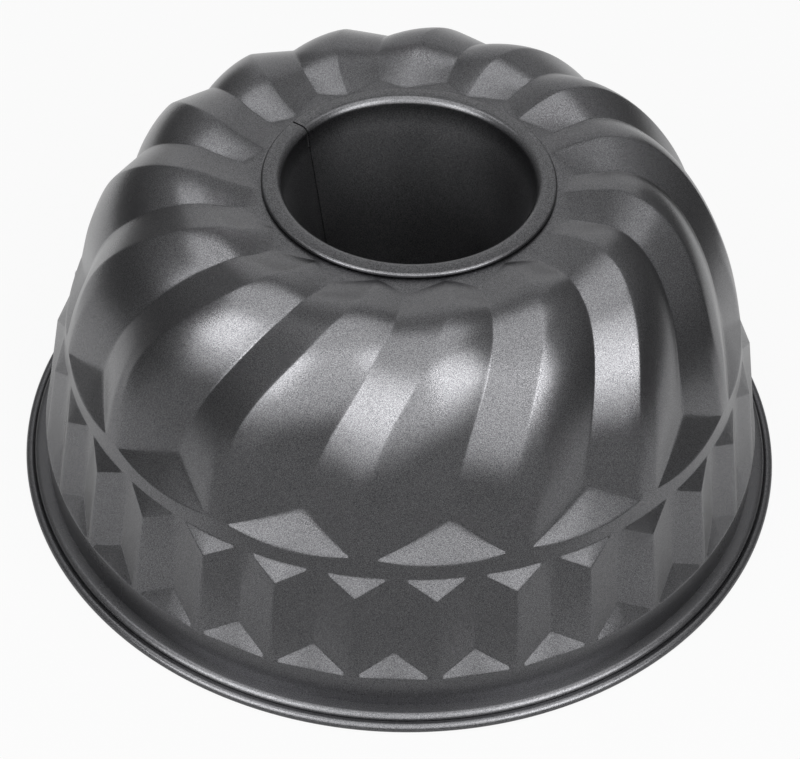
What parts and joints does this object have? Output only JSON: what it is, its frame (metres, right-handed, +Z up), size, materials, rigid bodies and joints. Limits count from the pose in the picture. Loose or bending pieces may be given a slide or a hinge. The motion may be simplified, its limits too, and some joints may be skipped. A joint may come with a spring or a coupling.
{
  "type": "kugelhopf mould",
  "caption": "Round fluted ring-cake mould of coated sheet steel: swirled dome over a faceted band, seamed centre tube and rolled rim, standing mouth down.",
  "frame": {"origin": "centre of the rim circle, on the surface that the rolled rim rests on", "axes": "+Z up along the mould's axis, from the mouth to the fluted top; -Y is the front of the picture"},
  "size_m": [0.25, 0.25, 0.1123],
  "materials": {
    "coated_steel": "satin non-stick coating with fine metallic flake",
    "coated_tube": "satin non-stick coating with fine metallic flake",
    "wire_steel": "drawn wire, sealed in the rolled rim"
  },
  "bodies": {
    "root": {"fluted_shell": "coated_steel", "centre_tube": "coated_tube", "rim_wire": "wire_steel"}
  },
  "joints": []
}
